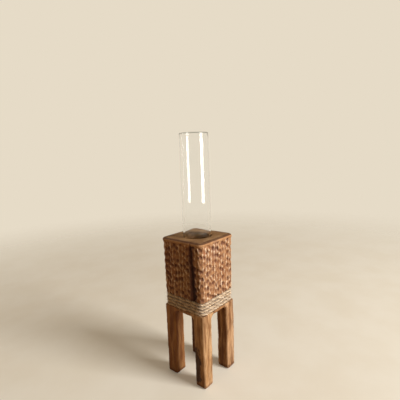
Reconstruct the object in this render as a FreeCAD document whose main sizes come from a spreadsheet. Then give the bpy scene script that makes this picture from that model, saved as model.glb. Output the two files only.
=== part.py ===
import FreeCAD, Part
import math
import os

import Sketcher
from FreeCAD import Placement, Rotation, Vector

# A test tube vase: a chiselled wooden block holds a glass test tube upright, and
# stands on four square legs. The legs are let into the corners of a plate under the
# block, and twine wound round the plate's neck lashes them there.
#
# Millimetres, +Z up. The origin is on the floor, in the middle between the feet.
# The corner between the -X face and the -Y face is called the front one.

doc = FreeCAD.newDocument("test_tube_vase")

# Driving sizes

SIZES = [
    # Legs: square posts, whose outer faces all lie on one square
    ("frame_width", 53.4),
    ("leg_width", 13.6),
    ("leg_edge_radius", 2.4),
    ("foot_chamfer", 1.6),
    ("shoulder_height", 78.0),
    ("cove_radius", 4.0),
    # Waist plate: a rail shows under the twine, and a neck stands behind it
    ("rail_depth", 4.0),
    ("neck_corner_radius", 3.4),
    ("tongue_share", 0.7),
    # Block: a little wider at its top, bored from above for the tube
    ("block_bottom_width", 53.8),
    ("block_top_width", 55.3),
    ("block_height", 61.2),
    ("block_corner_radius", 4.8),
    ("block_top_round", 2.4),
    ("block_bottom_chamfer", 0.9),
    # Gouge cuts in the block's sides, in staggered columns, and a long drying crack
    ("gouge_column_spacing", 8.87),
    ("gouge_row_spacing", 7.3),
    ("gouge_width", 5.6),
    ("gouge_height", 6.0),
    ("gouge_depth", 2.4),
    ("gouge_rows", 7),
    ("gouge_margin", 3.1),
    ("crack_place", 13.65),
    ("crack_width", 2.6),
    ("crack_depth", 3.4),
    ("crack_margin", 3.5),
    ("bore_depth", 43.8),
    ("bore_mouth_chamfer", 0.7),
    # Glass tube, a standard size
    ("tube_diameter", 30.0),
    ("tube_length", 150.0),
    ("tube_wall", 1.5),
    ("tube_rim_chamfer", 0.45),
    ("tube_clearance", 0.3),
    # Twine, wound in level turns that climb to the next one on the +Y side
    ("twine_diameter", 2.85),
    ("twine_turns", 4),
    ("twine_turn_gap", 0.5),
    ("twine_seat_gap", 0.1),
    ("twine_recess", 0.05),
    ("twine_end_share", 1.2),
    ("twine_sides", 8),
    # Dowels that pin the block to the plate
    ("dowel_diameter", 6.0),
    ("dowel_length", 16.0),
    ("dowel_spacing", 24.0),
    ("dowel_clearance", 0.1),
    ("dowel_end_gap", 0.4),
]

sheet = doc.addObject("Spreadsheet::Sheet", "Sizes")
for row, (alias, value) in enumerate(SIZES, start=1):
    sheet.set(f"A{row}", alias)
    sheet.set(f"B{row}", str(value))
    sheet.setAlias(f"B{row}", alias)
doc.recompute()

# Derived sizes and places, as expressions on the sheet

OUTER = "(Sizes.frame_width / 2)"
INNER = f"({OUTER} - Sizes.leg_width)"
SHOULDER = "Sizes.shoulder_height"
RAIL_BOTTOM = f"({SHOULDER} - Sizes.rail_depth)"
COVE_START = f"({RAIL_BOTTOM} - Sizes.cove_radius)"
HEAD_INNER = f"({INNER} - Sizes.cove_radius)"

TWINE_RADIUS = "(Sizes.twine_diameter / 2)"
TWINE_PITCH = "(Sizes.twine_diameter + Sizes.twine_turn_gap)"
TWINE_BAND = f"(Sizes.twine_turns * {TWINE_PITCH} - Sizes.twine_turn_gap)"
NECK_HEIGHT = f"({TWINE_BAND} + 2 * Sizes.twine_seat_gap)"
NECK_HALF = f"({OUTER} - Sizes.twine_diameter - Sizes.twine_seat_gap - Sizes.twine_recess)"
TONGUE_HEIGHT = f"({NECK_HEIGHT} * Sizes.tongue_share)"

BLOCK_BOTTOM = f"({SHOULDER} + {NECK_HEIGHT})"
BLOCK_TOP = f"({BLOCK_BOTTOM} + Sizes.block_height)"
BLOCK_SIDE = "(Sizes.block_top_width / 2)"
BLOCK_FLARE = "((Sizes.block_top_width - Sizes.block_bottom_width) / 2)"

TUBE_RADIUS = "(Sizes.tube_diameter / 2)"
TUBE_INNER = f"({TUBE_RADIUS} - Sizes.tube_wall)"
TUBE_BOTTOM = f"({BLOCK_TOP} - Sizes.bore_depth + Sizes.tube_clearance)"
TUBE_BEND = f"({TUBE_BOTTOM} + {TUBE_RADIUS})"
TUBE_TOP = f"({TUBE_BOTTOM} + Sizes.tube_length)"
BORE_RADIUS = f"({TUBE_RADIUS} + Sizes.tube_clearance)"

DOWEL_PLACE = "(Sizes.dowel_spacing / 2)"
DOWEL_HOLE_RADIUS = "(Sizes.dowel_diameter / 2 + Sizes.dowel_clearance)"
DOWEL_HOLE_DEPTH = "(Sizes.dowel_length / 2 + Sizes.dowel_end_gap)"

NEAR = 1e-4


def size(expression):
    """The present value of an expression on the sheet."""
    return float(sheet.evalExpression(expression))


def near(a, b):
    return abs(a - b) < NEAR


# Sketches and features

def origin_feature(body, role):
    return [item for item in body.Origin.OriginFeatures if item.Role == role][0]


def new_sketch(body, name, plane, offset="0"):
    """An empty sketch on one of the body's own planes, moved along its normal."""
    sketch = body.newObject("Sketcher::SketchObject", name)
    sketch.AttachmentSupport = [(origin_feature(body, plane), "")]
    sketch.MapMode = "FlatFace"
    sketch.setExpression("AttachmentOffset.Base.z", offset)
    doc.recompute()
    return sketch


def hold(sketch, geometry, position, axis, expression):
    """Keeps one coordinate of a sketch point at an expression."""
    if expression == "0":
        line = {"X": -2, "Y": -1}[axis]
        sketch.addConstraint(Sketcher.Constraint("PointOnObject", geometry, position, line))
        return
    place = Sketcher.Constraint("Distance" + axis, -1, 1, geometry, position, size(expression))
    index = sketch.addConstraint(place)
    sketch.setExpression(f"Constraints[{index}]", expression)


def closed_outline(sketch, start, *steps):
    """Draws a closed outline and holds each of its points with expressions.

    start is (x, y). A step is (x, y) for a straight line to that point, or
    (x, y, cx, cy, way, held) for an arc to it about (cx, cy), where way is ccw or
    cw and held is the coordinate of the centre that is kept.
    """
    last = start
    joints = []
    for step in steps:
        p = Vector(size(last[0]), size(last[1]), 0)
        q = Vector(size(step[0]), size(step[1]), 0)
        if len(step) == 2:
            index = sketch.addGeometry(Part.LineSegment(p, q), False)
            joints.append((index, 1, 2))
        else:
            centre = Vector(size(step[2]), size(step[3]), 0)
            circle = Part.Circle(centre, Vector(0, 0, 1), (q - centre).Length)
            ends = (p, q) if step[4] == "ccw" else (q, p)
            first, second = [math.atan2(v.y - centre.y, v.x - centre.x) for v in ends]
            if second <= first:
                second += 2 * math.pi
            index = sketch.addGeometry(Part.ArcOfCircle(circle, first, second), False)
            hold(sketch, index, 3, step[5], {"X": step[2], "Y": step[3]}[step[5]])
            joints.append((index, 1, 2) if step[4] == "ccw" else (index, 2, 1))
        last = step[:2]
    points = [start] + [step[:2] for step in steps[:-1]]
    for number, (index, begin, _) in enumerate(joints):
        before, _, end = joints[number - 1]
        sketch.addConstraint(Sketcher.Constraint("Coincident", before, end, index, begin))
        hold(sketch, index, begin, "X", points[number][0])
        hold(sketch, index, begin, "Y", points[number][1])
    doc.recompute()


def rectangle(sketch, low, high):
    """A square outline from (low, low) to (high, high)."""
    closed_outline(sketch, (low, low), (high, low), (high, high), (low, high), (low, low))


def rounded_square(sketch, half, radius):
    """A square about the sketch's origin, with an arc at each corner."""
    far, bend = half, f"({half} - {radius})"
    closed_outline(
        sketch,
        (f"-{bend}", f"-{far}"),
        (bend, f"-{far}"),
        (far, f"-{bend}", bend, f"-{bend}", "ccw", "X"),
        (far, bend),
        (bend, far, bend, bend, "ccw", "X"),
        (f"-{bend}", far),
        (f"-{far}", bend, f"-{bend}", bend, "ccw", "X"),
        (f"-{far}", f"-{bend}"),
        (f"-{bend}", f"-{far}", f"-{bend}", f"-{bend}", "ccw", "X"),
    )


def circle_on_axis(sketch, x, radius):
    """A circle on the sketch's X axis."""
    circle = Part.Circle(Vector(size(x), 0, 0), Vector(0, 0, 1), size(radius))
    index = sketch.addGeometry(circle, False)
    hold(sketch, index, 3, "X", x)
    hold(sketch, index, 3, "Y", "0")
    kept = sketch.addConstraint(Sketcher.Constraint("Radius", index, size(radius)))
    sketch.setExpression(f"Constraints[{kept}]", radius)
    doc.recompute()


def feature(body, kind, name, profile, length, backwards=False):
    """A Pad or Pocket of a sketch."""
    item = body.newObject(f"PartDesign::{kind}", name)
    item.Profile = profile
    item.Reversed = backwards
    item.setExpression("Length", length)
    doc.recompute()
    profile.Visibility = False
    return item


def edge_names(item, wanted):
    """Names of a feature's edges whose end points and middle all satisfy wanted."""
    names = []
    for number, edge in enumerate(item.Shape.Edges, start=1):
        middle = edge.valueAt((edge.FirstParameter + edge.LastParameter) / 2)
        if all(wanted(point) for point in [v.Point for v in edge.Vertexes] + [middle]):
            names.append(f"Edge{number}")
    return names


def dress(body, kind, name, base, wanted, amount):
    """A Fillet or Chamfer on the edges that satisfy wanted."""
    item = body.newObject(f"PartDesign::{kind}", name)
    item.Base = (base, edge_names(base, wanted))
    item.setExpression({"Fillet": "Radius", "Chamfer": "Size"}[kind], amount)
    doc.recompute()
    return item


def new_body(name):
    body = doc.addObject("PartDesign::Body", name)
    body.Label = name
    return body


# Legs

def bracket_outline(sketch):
    """From the leg's side out under the twine, with a hollow underside."""
    edge, tip = f"-{INNER}", f"-{HEAD_INNER}"
    closed_outline(
        sketch,
        (edge, COVE_START),
        (edge, SHOULDER),
        (tip, SHOULDER),
        (tip, RAIL_BOTTOM),
        (edge, COVE_START, tip, COVE_START, "ccw", "X"),
    )


def make_leg(name, quarter_turns):
    """One leg, drawn at the front corner and turned about Z to its own corner."""
    body = new_body(name)
    low, high, neck = f"-{OUTER}", f"-{INNER}", f"-{NECK_HALF}"

    foot = new_sketch(body, f"{name}_foot", "XY_Plane")
    rectangle(foot, low, high)
    feature(body, "Pad", f"{name}_post", foot, SHOULDER)

    along_x = new_sketch(body, f"{name}_bracket_x_outline", "XZ_Plane", OUTER)
    bracket_outline(along_x)
    feature(body, "Pad", f"{name}_bracket_x", along_x, "Sizes.leg_width", backwards=True)

    along_y = new_sketch(body, f"{name}_bracket_y_outline", "YZ_Plane", low)
    bracket_outline(along_y)
    feature(body, "Pad", f"{name}_bracket_y", along_y, "Sizes.leg_width")

    above = new_sketch(body, f"{name}_tongue_outline", "XY_Plane", SHOULDER)
    rectangle(above, neck, high)
    tongue = feature(body, "Pad", f"{name}_tongue", above, TONGUE_HEIGHT)

    outer, inner, neck_half = size(OUTER), size(INNER), size(NECK_HALF)
    rail_bottom = size(RAIL_BOTTOM)

    def outside_edge(p):
        if near(p.x, -outer) and near(p.y, -outer):
            return True
        inner_side = near(p.x, -outer) and p.y > -inner - NEAR
        other_side = near(p.y, -outer) and p.x > -inner - NEAR
        return p.z < rail_bottom + NEAR and (inner_side or other_side)

    def tongue_corner(p):
        return near(p.x, -neck_half) and near(p.y, -neck_half)

    edges = dress(body, "Fillet", f"{name}_edges", tongue, outside_edge,
                  "Sizes.leg_edge_radius")
    corner = dress(body, "Fillet", f"{name}_tongue_corner", edges, tongue_corner,
                   "Sizes.neck_corner_radius")
    dress(body, "Chamfer", f"{name}_foot_chamfer", corner, lambda p: near(p.z, 0),
          "Sizes.foot_chamfer")

    body.Placement = Placement(Vector(), Rotation(Vector(0, 0, 1), 90 * quarter_turns))
    return body


# Waist plate

def dowel_holes(body, name, upwards):
    """Two blind holes for the dowels, from the joint under the block into the wood."""
    sketch = new_sketch(body, f"{name}_centres", "XY_Plane", BLOCK_BOTTOM)
    circle_on_axis(sketch, f"-{DOWEL_PLACE}", DOWEL_HOLE_RADIUS)
    circle_on_axis(sketch, DOWEL_PLACE, DOWEL_HOLE_RADIUS)
    return feature(body, "Pocket", name, sketch, DOWEL_HOLE_DEPTH, backwards=upwards)


def make_waist_plate():
    """The plate that joins the legs, its corners cut out for their heads and tongues."""
    body = new_body("waist_plate")

    rail = new_sketch(body, "rail_outline", "XY_Plane", RAIL_BOTTOM)
    rectangle(rail, f"-{OUTER}", OUTER)
    feature(body, "Pad", "rail", rail, "Sizes.rail_depth")

    above = new_sketch(body, "neck_outline", "XY_Plane", SHOULDER)
    rectangle(above, f"-{NECK_HALF}", NECK_HALF)
    neck = feature(body, "Pad", "neck", above, NECK_HEIGHT)

    outer, neck_half, head = size(OUTER), size(NECK_HALF), size(HEAD_INNER)
    rail_bottom = size(RAIL_BOTTOM)

    def neck_corner(p):
        return near(abs(p.x), neck_half) and near(abs(p.y), neck_half)

    dress(body, "Fillet", "neck_corners", neck, neck_corner, "Sizes.neck_corner_radius")

    far = f"-({OUTER} + Sizes.leg_width)"
    inner, tip = f"-{INNER}", f"-{HEAD_INNER}"
    heads = new_sketch(body, "head_notch_outline", "XY_Plane", RAIL_BOTTOM)
    closed_outline(heads, (far, far), (tip, far), (tip, inner), (inner, inner),
                   (inner, tip), (far, tip), (far, far))
    head_notch = feature(body, "Pocket", "head_notch", heads, "Sizes.rail_depth",
                         backwards=True)
    tongues = new_sketch(body, "tongue_notch_outline", "XY_Plane", SHOULDER)
    rectangle(tongues, far, inner)
    tongue_notch = feature(body, "Pocket", "tongue_notch", tongues, TONGUE_HEIGHT,
                           backwards=True)

    notches = body.newObject("PartDesign::PolarPattern", "corner_notches")
    notches.Originals = [head_notch, tongue_notch]
    notches.Axis = (origin_feature(body, "Z_Axis"), [""])
    notches.Angle = 360
    notches.Occurrences = 4
    body.Tip = notches
    doc.recompute()

    def rail_edge(p):
        across, along = sorted((abs(p.x), abs(p.y)), reverse=True)
        return near(p.z, rail_bottom) and near(across, outer) and along < head + NEAR

    dress(body, "Fillet", "rail_edges", notches, rail_edge, "Sizes.leg_edge_radius")
    dowel_holes(body, "plate_dowel_holes", upwards=False)
    return body


# Chiselled block

# Where a cut is deepest, as shares of its length from its lower end
GOUGE_DEEP_FROM, GOUGE_DEEP_TO = 0.4, 0.75
CRACK_DEEP_FROM, CRACK_DEEP_TO = 0.0, 0.9


def notch(body, name, turn, across, height, width, length, depth, deep_from, deep_to):
    """A wedge cut into a side of the block, deepest along a line up its middle.

    At turn 0 it cuts the -Y side. across is where it is along that side, height where
    it starts, and deep_from and deep_to are shares of its length.
    """
    item = body.newObject("PartDesign::SubtractiveWedge", name)
    item.AttachmentSupport = [(origin_feature(body, "XY_Plane"), "")]
    item.MapMode = "FlatFace"
    item.AttachmentOffset = Placement(Vector(), Rotation(Vector(0, 0, 1), 90 * turn))
    sideways, inwards = ("x", f"-{BLOCK_SIDE}"), ("y", f"-{BLOCK_SIDE}")
    held = {0: (("x", across), inwards), -1: (sideways, ("y", across))}[turn]
    for axis, expression in held + (("z", height),):
        item.setExpression(f"AttachmentOffset.Base.{axis}", expression)
    bounds = {
        "Xmin": f"-{width} / 2", "Xmax": f"{width} / 2", "X2min": "0", "X2max": "0",
        "Ymin": "0", "Ymax": depth, "Zmin": "0", "Zmax": length,
        "Z2min": f"{length} * {deep_from}", "Z2max": f"{length} * {deep_to}",
    }
    for bound, expression in bounds.items():
        item.setExpression(bound, expression)
    doc.recompute()
    return item


def gouges(body, name, columns, rows, height):
    """Rows and columns of gouge cuts on all four sides, in the middle of each side."""
    far = f"({columns} - 1) * Sizes.gouge_column_spacing"
    first = notch(body, f"{name}_cut", 0, f"-{far}", height,
                  "Sizes.gouge_width", "Sizes.gouge_height", "Sizes.gouge_depth",
                  GOUGE_DEEP_FROM, GOUGE_DEEP_TO)
    spread = body.newObject("PartDesign::MultiTransform", name)
    spread.Originals = [first]
    up = body.newObject("PartDesign::LinearPattern", f"{name}_rows")
    up.Direction = (origin_feature(body, "Z_Axis"), [""])
    up.setExpression("Length", f"({rows} - 1) * Sizes.gouge_row_spacing")
    up.setExpression("Occurrences", rows)
    along = body.newObject("PartDesign::LinearPattern", f"{name}_columns")
    along.Direction = (origin_feature(body, "X_Axis"), [""])
    along.setExpression("Length", f"2 * {far}")
    along.Occurrences = columns
    around = body.newObject("PartDesign::PolarPattern", f"{name}_sides")
    around.Axis = (origin_feature(body, "Z_Axis"), [""])
    around.Angle = 360
    around.Occurrences = 4
    spread.Transformations = [up, along, around]
    body.Tip = spread
    doc.recompute()
    return spread


def make_block():
    """The block that holds the tube, gouged all round, with a bore from its top."""
    body = new_body("chiselled_block")

    outline = new_sketch(body, "block_outline", "XY_Plane", BLOCK_BOTTOM)
    rounded_square(outline, "(Sizes.block_bottom_width / 2)", "Sizes.block_corner_radius")
    flare = feature(body, "Pad", "block_flare", outline, "Sizes.block_height")
    flare.setExpression("TaperAngle", f"atan({BLOCK_FLARE} / Sizes.block_height)")
    doc.recompute()

    bottom, top = size(BLOCK_BOTTOM), size(BLOCK_TOP)
    bore_radius = size(BORE_RADIUS)

    def mouth_edge(p):
        return near(p.z, top) and math.hypot(p.x, p.y) < bore_radius + NEAR

    rim = dress(body, "Fillet", "block_top_edge", flare, lambda p: near(p.z, top),
                "Sizes.block_top_round")
    dress(body, "Chamfer", "block_bottom_edge", rim, lambda p: near(p.z, bottom),
          "Sizes.block_bottom_chamfer")

    mouth = new_sketch(body, "bore_outline", "XY_Plane", BLOCK_TOP)
    circle_on_axis(mouth, "0", BORE_RADIUS)
    bore = feature(body, "Pocket", "tube_bore", mouth, "Sizes.bore_depth")
    dress(body, "Chamfer", "bore_mouth", bore, mouth_edge, "Sizes.bore_mouth_chamfer")
    dowel_holes(body, "block_dowel_holes", upwards=True)

    start = f"({BLOCK_BOTTOM} + Sizes.gouge_margin)"
    gouges(body, "outer_gouges", 3, "Sizes.gouge_rows", start)
    gouges(body, "inner_gouges", 2, "(Sizes.gouge_rows - 1)",
           f"({start} + Sizes.gouge_row_spacing / 2)")
    notch(body, "drying_crack", -1, "-Sizes.crack_place", f"({BLOCK_BOTTOM} - Sizes.crack_margin)",
          "Sizes.crack_width", "Sizes.block_height", "Sizes.crack_depth",
          CRACK_DEEP_FROM, CRACK_DEEP_TO)
    return body


# Dowels between the block and the plate

def make_dowels():
    body = new_body("joint_dowels")
    ends = new_sketch(body, "dowel_outline", "XY_Plane",
                      f"{BLOCK_BOTTOM} - Sizes.dowel_length / 2")
    circle_on_axis(ends, f"-{DOWEL_PLACE}", "Sizes.dowel_diameter / 2")
    circle_on_axis(ends, DOWEL_PLACE, "Sizes.dowel_diameter / 2")
    feature(body, "Pad", "dowel_rods", ends, "Sizes.dowel_length")
    return body


# Glass tube

def make_tube():
    """A round-bottomed tube with a plain softened rim, turned from one outline."""
    body = new_body("test_tube")
    outline = new_sketch(body, "tube_outline", "XZ_Plane")
    rim = f"({TUBE_TOP} - Sizes.tube_rim_chamfer)"
    closed_outline(
        outline,
        ("0", TUBE_BOTTOM),
        (TUBE_RADIUS, TUBE_BEND, "0", TUBE_BEND, "ccw", "X"),
        (TUBE_RADIUS, rim),
        (f"({TUBE_RADIUS} - Sizes.tube_rim_chamfer)", TUBE_TOP),
        (f"({TUBE_INNER} + Sizes.tube_rim_chamfer)", TUBE_TOP),
        (TUBE_INNER, rim),
        (TUBE_INNER, TUBE_BEND),
        ("0", f"({TUBE_BOTTOM} + Sizes.tube_wall)", "0", TUBE_BEND, "cw", "X"),
        ("0", TUBE_BOTTOM),
    )
    turned = body.newObject("PartDesign::Revolution", "tube_glass")
    turned.Profile = outline
    turned.ReferenceAxis = (outline, ["V_Axis"])
    turned.Angle = 360
    doc.recompute()
    outline.Visibility = False
    return body


# Twine winding

def climbing_run(start, finish, rise):
    """Two arcs that climb while running from start to over finish, level at both ends."""
    run = (finish - start).Length
    along = (finish - start) * (1 / run)
    radius = (run ** 2 + rise ** 2) / (4 * rise)
    half_angle = math.asin(run / 2 / radius) / 2
    side = along * (radius * math.sin(half_angle))
    lift = Vector(0, 0, radius * (1 - math.cos(half_angle)))
    end = finish + Vector(0, 0, rise)
    middle = (start + end) * 0.5
    return [
        Part.Arc(start, start + side + lift, middle).toShape(),
        Part.Arc(middle, end - side - lift, end).toShape(),
    ]


def level_turn(first, last, half, flat):
    """Once round the neck's rounded square, from first to last on the +Y side."""
    bend = half - flat
    edges = []
    place = first
    for corner in range(4):
        angle = math.pi / 2 * (1 + corner)
        out = Vector(math.cos(angle), math.sin(angle), 0)
        ahead = Vector(-out.y, out.x, 0)
        centre = (out + ahead) * flat + Vector(0, 0, first.z)
        bend_start = centre + out * bend
        bend_end = centre + ahead * bend
        bend_middle = centre + (out + ahead) * (bend / math.sqrt(2))
        edges.append(Part.LineSegment(place, bend_start).toShape())
        edges.append(Part.Arc(bend_start, bend_middle, bend_end).toShape())
        place = bend_end
    edges.append(Part.LineSegment(place, last).toShape())
    return edges


def own_gap(path, diameter):
    """The least clear distance between two stretches of the path's tube."""
    points_per_diameter = 3
    count = int(path.Length / diameter * points_per_diameter)
    points = path.discretize(Number=count)
    skipped = int(2 * math.pi * points_per_diameter)
    least = min(
        point.distanceToPoint(other)
        for number, point in enumerate(points)
        for other in points[number + skipped:]
    )
    return least - diameter


def make_twine():
    """One unbroken tube of twine round the neck, cut square at both ends.

    Its section has flat sides a twine's diameter apart, one of them against the neck.
    """
    diameter, pitch = size("Sizes.twine_diameter"), size(TWINE_PITCH)
    half = size(f"{NECK_HALF} + Sizes.twine_seat_gap + {TWINE_RADIUS}")
    flat = size(f"{NECK_HALF} - Sizes.neck_corner_radius")
    lowest = size(f"{SHOULDER} + Sizes.twine_seat_gap + {TWINE_RADIUS}")
    climb = flat - size("Sizes.twine_end_share") * diameter

    edges = []
    for turn in range(int(size("Sizes.twine_turns"))):
        level = lowest + turn * pitch
        first, last = Vector(-climb, half, level), Vector(climb, half, level)
        if turn > 0:
            below = Vector(0, 0, pitch)
            edges += climbing_run(last - below, first - below, pitch)
        edges += level_turn(first, last, half, flat)

    path = Part.Wire(edges)
    start = Vector(-climb, half, lowest)
    sides = int(size("Sizes.twine_sides"))
    half_side = math.pi / sides
    reach = diameter / 2 / math.cos(half_side)
    corners = [
        start + Vector(0, math.cos(angle), math.sin(angle)) * reach
        for angle in (half_side * (2 * corner + 1) for corner in range(sides + 1))
    ]
    section = Part.Face(Part.makePolygon(corners))
    solid = path.makePipeShell([section.OuterWire], True, False)
    ideal = section.Area * path.Length
    print(f"twine: {path.Length:.1f} mm long, volume {solid.Volume / ideal:.4f} of its section "
          f"times its length, least gap to itself {own_gap(path, diameter):.3f} mm")

    item = doc.addObject("Part::Feature", "twine_wrap")
    item.Label = "twine_wrap"
    item.Shape = solid
    item.Placement = Placement()
    return item


parts = [
    make_leg("leg_front", 0),
    make_leg("leg_right", 1),
    make_leg("leg_back", 2),
    make_leg("leg_left", 3),
    make_waist_plate(),
    make_block(),
    make_dowels(),
    make_tube(),
    make_twine(),
]

# Checks and export

doc.recompute()
for item in doc.Objects:
    if "Invalid" in item.State or "Error" in item.State:
        raise RuntimeError(f"{item.Name} failed: {item.State}")

for item in parts:
    if item.Shape.isNull() or not item.Shape.isValid():
        raise RuntimeError(f"{item.Label} is not a valid shape")

os.makedirs("parts", exist_ok=True)
for item in parts:
    item.Shape.exportStep(f"parts/{item.Label}.step")
    box = item.Shape.optimalBoundingBox()
    print(f"{item.Label}: {len(item.Shape.Solids)} solid(s), "
          f"{item.Shape.Volume / 1000:.2f} cm3, x {box.XMin:.2f} to {box.XMax:.2f}, "
          f"y {box.YMin:.2f} to {box.YMax:.2f}, z {box.ZMin:.2f} to {box.ZMax:.2f}")
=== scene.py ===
# %% [markdown]
# # A test tube vase
#
# A wooden block with a hand-gouged surface holds a glass test tube upright. The block
# stands on four square legs, and jute twine is wound round the waist between them.
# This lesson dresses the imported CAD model: the CAD says where everything is and what
# moves, and each step here gives one piece its real surface. Everything is in metres,
# +Z is up, and the vase stands on the floor at the origin.

import math

import bmesh
import bpy
import numpy as np
from mathutils import Matrix, Vector


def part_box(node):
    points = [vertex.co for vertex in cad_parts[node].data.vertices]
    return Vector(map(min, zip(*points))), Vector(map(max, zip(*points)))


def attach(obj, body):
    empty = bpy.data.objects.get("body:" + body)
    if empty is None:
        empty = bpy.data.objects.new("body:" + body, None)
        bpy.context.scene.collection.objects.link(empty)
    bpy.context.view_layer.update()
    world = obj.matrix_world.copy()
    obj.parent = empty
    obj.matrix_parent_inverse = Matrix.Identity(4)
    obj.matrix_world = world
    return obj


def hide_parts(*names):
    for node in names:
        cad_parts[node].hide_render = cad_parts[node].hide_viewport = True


MM = 0.001

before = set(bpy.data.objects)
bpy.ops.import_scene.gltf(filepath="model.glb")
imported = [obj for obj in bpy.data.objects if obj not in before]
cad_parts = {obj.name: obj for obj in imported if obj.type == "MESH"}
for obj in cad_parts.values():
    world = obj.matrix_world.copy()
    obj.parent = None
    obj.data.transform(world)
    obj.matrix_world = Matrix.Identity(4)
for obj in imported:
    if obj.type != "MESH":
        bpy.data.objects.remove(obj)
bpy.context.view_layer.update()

# %% [markdown]
# ## Camera
#
# The photograph was taken from a little above the block, by the corner between the
# two visible faces. A camera could be placed by eye, but then every proportion would
# be a guess. Its place, tilt, lens and small roll here came from matching the corners
# of the model to the corners in the photograph.

# %% Place the camera
CAMERA_PLACE = Vector((-247.0, -213.1, 233.7)) * MM
HEADING = math.radians(40.05)
LOOK_DOWN = math.radians(7.69)
ROLL = math.radians(2.04)
LENS_MM = 28.25
SENSOR_MM = 36.0


def linked(name, data):
    """A new object in the scene."""
    thing = bpy.data.objects.new(name, data)
    bpy.context.scene.collection.objects.link(thing)
    return thing


def make_camera():
    ahead = Vector((math.cos(HEADING) * math.cos(LOOK_DOWN),
                    math.sin(HEADING) * math.cos(LOOK_DOWN),
                    -math.sin(LOOK_DOWN)))
    level = ahead.cross(Vector((0, 0, 1))).normalized()
    down = ahead.cross(level)
    right = level * math.cos(ROLL) + down * math.sin(ROLL)
    up = level * math.sin(ROLL) - down * math.cos(ROLL)
    data = bpy.data.cameras.new("camera")
    data.lens = LENS_MM
    data.sensor_width = SENSOR_MM
    camera = linked("camera", data)
    turn = Matrix((right, up, -ahead)).transposed().to_4x4()
    camera.matrix_world = Matrix.Translation(CAMERA_PLACE) @ turn
    return camera


bpy.context.scene.camera = make_camera()
bpy.context.scene.view_settings.view_transform = "Standard"
print("camera is", round(CAMERA_PLACE.length / MM), "mm from the vase's foot")

# %% [markdown]
# ## A small language for nodes
#
# Materials and geometry trees are both made of nodes. Clicking them together is fine
# for one material, but a sum of six terms soon hides what it means. So a wire between
# nodes is wrapped in a class whose operators add Math nodes: `1 - mask` reads as it
# should. Colours go through Mix nodes, because a Math node would turn them grey, and
# every other node comes from the one method `node`.

# %% Wires and sheets
def sum_of(operation, backwards=False):
    """A method that adds a Math node for a wire and another wire or number."""
    def method(self, other):
        pair = (other, self) if backwards else (self, other)
        return self.sheet.math(operation, *pair)
    return method


class Wire:
    """One output of a node. Sums with it add Math nodes to its sheet."""

    def __init__(self, sheet, socket):
        self.sheet = sheet
        self.socket = socket

    __add__ = __radd__ = sum_of("ADD")
    __sub__ = sum_of("SUBTRACT")
    __rsub__ = sum_of("SUBTRACT", backwards=True)
    __mul__ = __rmul__ = sum_of("MULTIPLY")
    __truediv__ = sum_of("DIVIDE")
    __pow__ = sum_of("POWER")

    def __abs__(self):
        return self.sheet.math("ABSOLUTE", self)

    def floor(self):
        return self.sheet.math("FLOOR", self)


class Sheet:
    """A node tree that is written in Python."""

    def __init__(self, tree):
        self.tree = tree

    def plug(self, socket, value):
        if isinstance(value, Wire):
            self.tree.links.new(value.socket, socket)
        else:
            socket.default_value = value

    def node(self, kind, settings=(), inputs=(), output=0):
        """Adds any node: its settings first, then the values or wires of its sockets."""
        new = self.tree.nodes.new(kind)
        for name, value in dict(settings).items():
            setattr(new, name, value)
        for key, value in dict(inputs).items():
            self.plug(new.inputs[key], value)
        return Wire(self, new.outputs[output])

    def math(self, operation, *values):
        return self.node("ShaderNodeMath", {"operation": operation}, enumerate(values))

    def vector(self, operation, *values):
        return self.node("ShaderNodeVectorMath", {"operation": operation}, enumerate(values))

    def scaled(self, vector, factor):
        """A vector made longer or shorter by a number."""
        return self.node("ShaderNodeVectorMath", {"operation": "SCALE"},
                         {"Vector": vector, "Scale": factor})

    def part(self, vector, axis):
        return self.node("ShaderNodeSeparateXYZ", inputs={0: vector}, output=axis)

    def joined(self, x, y, z):
        return self.node("ShaderNodeCombineXYZ", inputs={0: x, 1: y, 2: z})

    def smooth(self, value, low, high):
        """0 up to low, 1 from high, and a soft step between."""
        return self.node("ShaderNodeMapRange", {"interpolation_type": "SMOOTHSTEP"},
                         {0: value, 1: low, 2: high})

    def length(self, vector):
        return self.node("ShaderNodeVectorMath", {"operation": "LENGTH"}, {0: vector}, "Value")

    def largest(self, first, second):
        return self.math("MAXIMUM", first, second)

    def mix(self, amount, first, second):
        """One colour over another."""
        return self.node("ShaderNodeMix", {"data_type": "RGBA"},
                         {0: amount, 6: first, 7: second}, 2)

    def noise(self, place, detail=2.0, output=0):
        """Soft noise, about one bump for each unit of place."""
        return self.node("ShaderNodeTexNoise", (), {
            "Vector": place, "Scale": 1.0, "Detail": detail}, output)

    def bumps(self, place, size, detail=2.0, output=0):
        """Soft noise whose bumps are about this far apart."""
        return self.noise(self.scaled(place, 1 / size), detail, output)

    def chance(self, first, second, seed):
        """A fixed random number from 0 to 1 for each pair of whole numbers."""
        return self.node("ShaderNodeTexWhiteNoise", {"noise_dimensions": "3D"},
                         {"Vector": self.joined(first, second, seed)})

    def attribute(self, name, kind="FLOAT"):
        return self.node("GeometryNodeInputNamedAttribute", {"data_type": kind},
                         {"Name": name})

    def keep(self, geometry, name, value, kind="FLOAT"):
        """Stores a value on the points, for the material to read."""
        return self.node("GeometryNodeStoreNamedAttribute", {"data_type": kind},
                         {"Geometry": geometry, "Name": name, "Value": value})

    def gathered(self, pieces):
        """Several pieces of geometry as one."""
        join = self.node("GeometryNodeJoinGeometry")
        for piece in pieces:
            self.tree.links.new(piece.socket, join.socket.node.inputs[0])
        return join

    def moved(self, geometry, offset):
        return self.node("GeometryNodeSetPosition", (),
                         {"Geometry": geometry, "Offset": offset})


print("nodes can be written as sums")

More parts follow.
